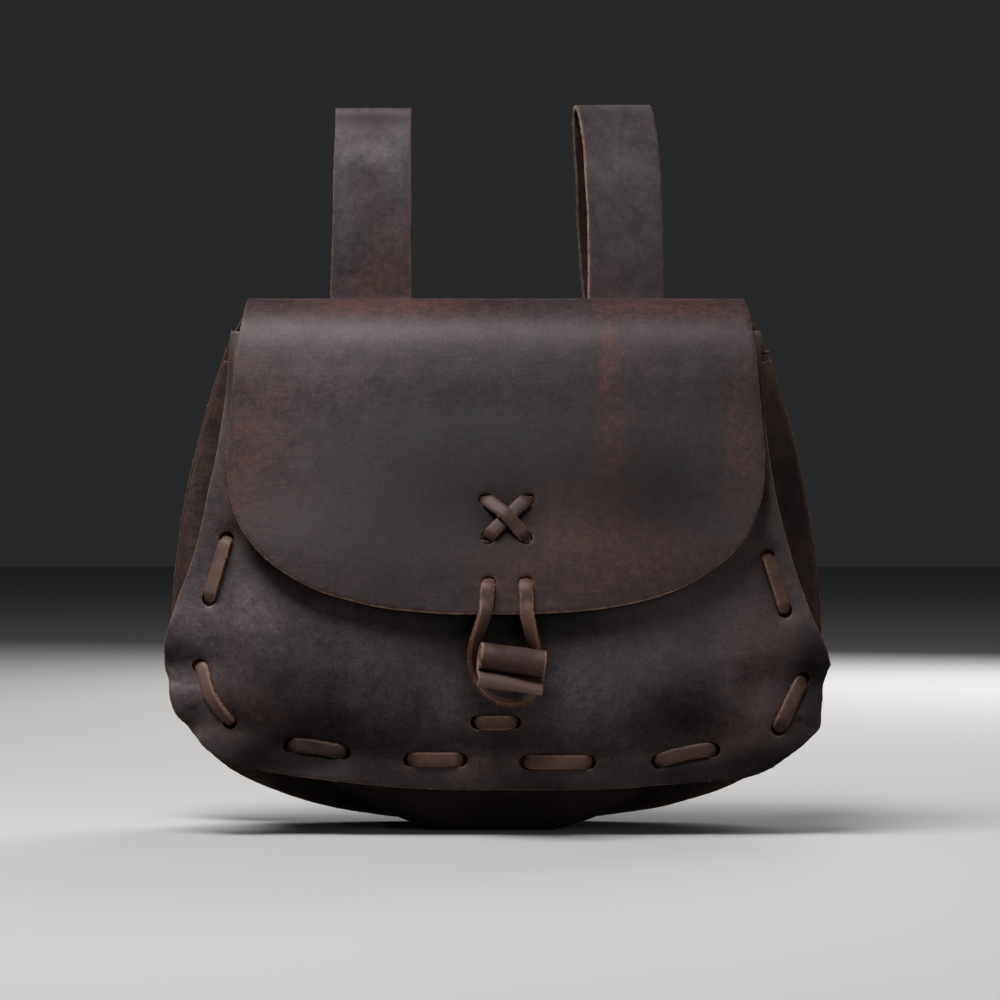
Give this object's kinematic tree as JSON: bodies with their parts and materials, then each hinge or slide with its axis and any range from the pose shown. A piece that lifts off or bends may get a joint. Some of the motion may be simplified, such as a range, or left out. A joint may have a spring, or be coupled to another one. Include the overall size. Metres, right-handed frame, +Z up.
{
  "type": "waist bag",
  "caption": "Laced leather waist bag with a domed front, a fold-over flap closed by a thong loop over a rolled toggle, and strap loops behind its top for a belt.",
  "frame": {"origin": "on the surface it stands on, at the middle of the flat belly of the gusset", "axes": "+X to the right seen from the front, +Y to the back panel, +Z up"},
  "size_m": [0.2444, 0.1206, 0.271],
  "materials": {
    "leather": "waxed pull-up leather, satin, rubbed brown at folds and edges",
    "gusset": "waxed pull-up leather, satin",
    "strap": "waxed pull-up leather, satin",
    "thong": "cut thong with a fibrous edge",
    "toggle": "rolled strip with pale cut edges"
  },
  "bodies": {
    "root": {"back_and_flap": "leather", "front_panel": "leather", "gusset": "gusset", "belt_loop_left": "strap", "belt_loop_right": "strap", "front_lace": "thong", "back_lace": "thong", "closure_loop": "thong", "toggle": "toggle", "toggle_thong": "thong", "centre_stitch": "thong", "loop_lace_left": "thong", "loop_lace_right": "thong"}
  },
  "joints": []
}
